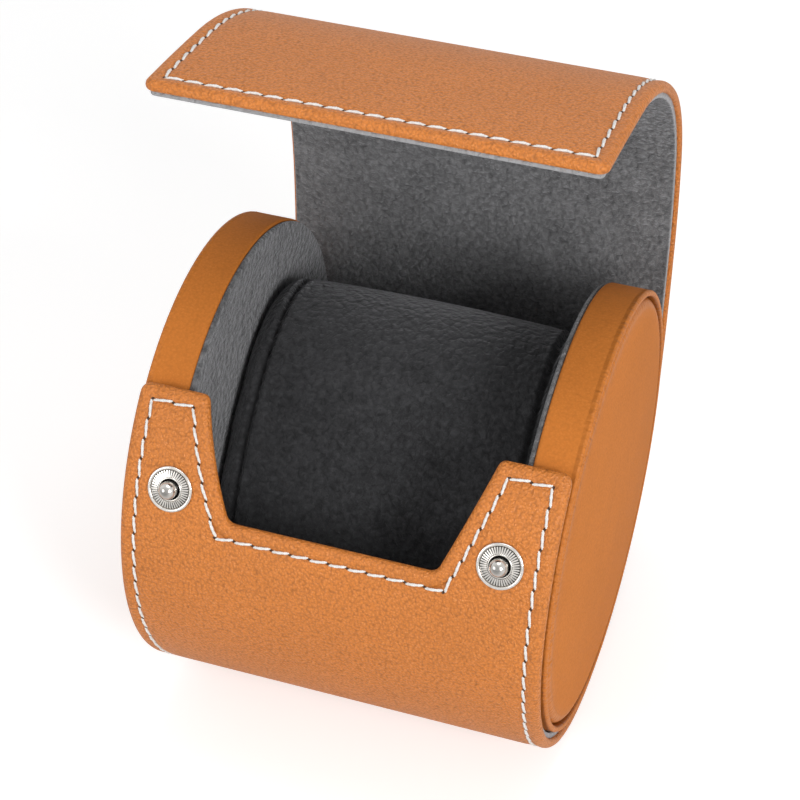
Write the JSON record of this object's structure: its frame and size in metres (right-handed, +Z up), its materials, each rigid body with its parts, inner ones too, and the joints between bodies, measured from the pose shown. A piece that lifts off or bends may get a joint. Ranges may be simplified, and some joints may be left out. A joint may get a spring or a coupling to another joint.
{
  "type": "watch travel case",
  "caption": "Round leather travel case for a wristwatch, open: stitched wrap-round lid, padded end caps, press studs and a suede pillow that lifts out.",
  "frame": {"origin": "under the middle of the case, on the flat it stands on", "axes": "+X along the round case from the left cap to the right cap, +Y from the front to the back where the lid starts, +Z up"},
  "size_m": [0.085, 0.0956, 0.1387],
  "materials": {
    "leather": "satin",
    "suede": "matte",
    "pillow_suede": "matte",
    "board": "matte",
    "foam": "matte",
    "metal": "polished"
  },
  "bodies": {
    "case": {"left_cap_core": "board", "right_cap_core": "board", "left_rim_leather": "leather", "right_rim_leather": "leather", "left_face_foam": "foam", "right_face_foam": "foam", "left_face_leather": "leather", "right_face_leather": "leather", "left_suede_disc": "suede", "right_suede_disc": "suede", "wrap_leather": "leather", "wrap_board": "board", "wrap_lining": "suede", "ear_studs": "metal", "ear_stud_washers": "metal"},
    "lid_heel": {"lid_heel_leather": "leather", "lid_heel_board": "board", "lid_heel_lining": "suede"},
    "lid_back": {"lid_back_leather": "leather", "lid_back_board": "board", "lid_back_lining": "suede"},
    "lid_shoulder": {"lid_shoulder_leather": "leather", "lid_shoulder_board": "board", "lid_shoulder_lining": "suede"},
    "lid_bend": {"lid_bend_leather": "leather", "lid_bend_board": "board", "lid_bend_lining": "suede"},
    "lid_top": {"lid_top_leather": "leather", "lid_top_board": "board", "lid_top_lining": "suede"},
    "lid_front": {"lid_front_leather": "leather", "lid_front_board": "board", "lid_front_lining": "suede", "lid_sockets": "metal", "lid_socket_washers": "metal"},
    "pillow": {"pillow_cover": "pillow_suede", "pillow_foam": "foam"}
  },
  "joints": [
    {"name": "lid_fold_0_heel", "type": "hinge", "parent": "case", "child": "lid_heel", "pos_m": [0, 0.04513, 0.04198], "axis": [1, 0, 0], "range_deg": [-1.9, 5.35]},
    {"name": "lid_fold_1_back", "type": "hinge", "parent": "lid_heel", "child": "lid_back", "pos_m": [0, 0.04659, 0.0559], "axis": [1, 0, 0], "range_deg": [-8, 22.61]},
    {"name": "lid_fold_2_shoulder", "type": "hinge", "parent": "lid_back", "child": "lid_shoulder", "pos_m": [0, 0.04729, 0.07588], "axis": [1, 0, 0], "range_deg": [-6.36, 17.96]},
    {"name": "lid_fold_3_bend", "type": "hinge", "parent": "lid_shoulder", "child": "lid_bend", "pos_m": [0, 0.04537, 0.09777], "axis": [1, 0, 0], "range_deg": [-2.88, 8.14]},
    {"name": "lid_fold_4_top", "type": "hinge", "parent": "lid_bend", "child": "lid_top", "pos_m": [0, 0.033, 0.1201], "axis": [1, 0, 0], "range_deg": [-13.96, 4.94]},
    {"name": "lid_fold_5_front", "type": "hinge", "parent": "lid_top", "child": "lid_front", "pos_m": [0, 0.00362, 0.13411], "axis": [1, 0, 0], "range_deg": [-10, 30.16]},
    {"name": "pillow_lift", "type": "slide", "parent": "case", "child": "pillow", "axis": [0, 0, -1], "range_m": [-0.015, 0]}
  ],
  "couplings": [
    {"joint": "lid_fold_0_heel", "follows": "lid_fold_1_back", "ratio": 0.2366},
    {"joint": "lid_fold_2_shoulder", "follows": "lid_fold_1_back", "ratio": 0.7939},
    {"joint": "lid_fold_3_bend", "follows": "lid_fold_1_back", "ratio": 0.3596},
    {"joint": "lid_fold_4_top", "follows": "lid_fold_1_back", "ratio": -0.6174}
  ]
}
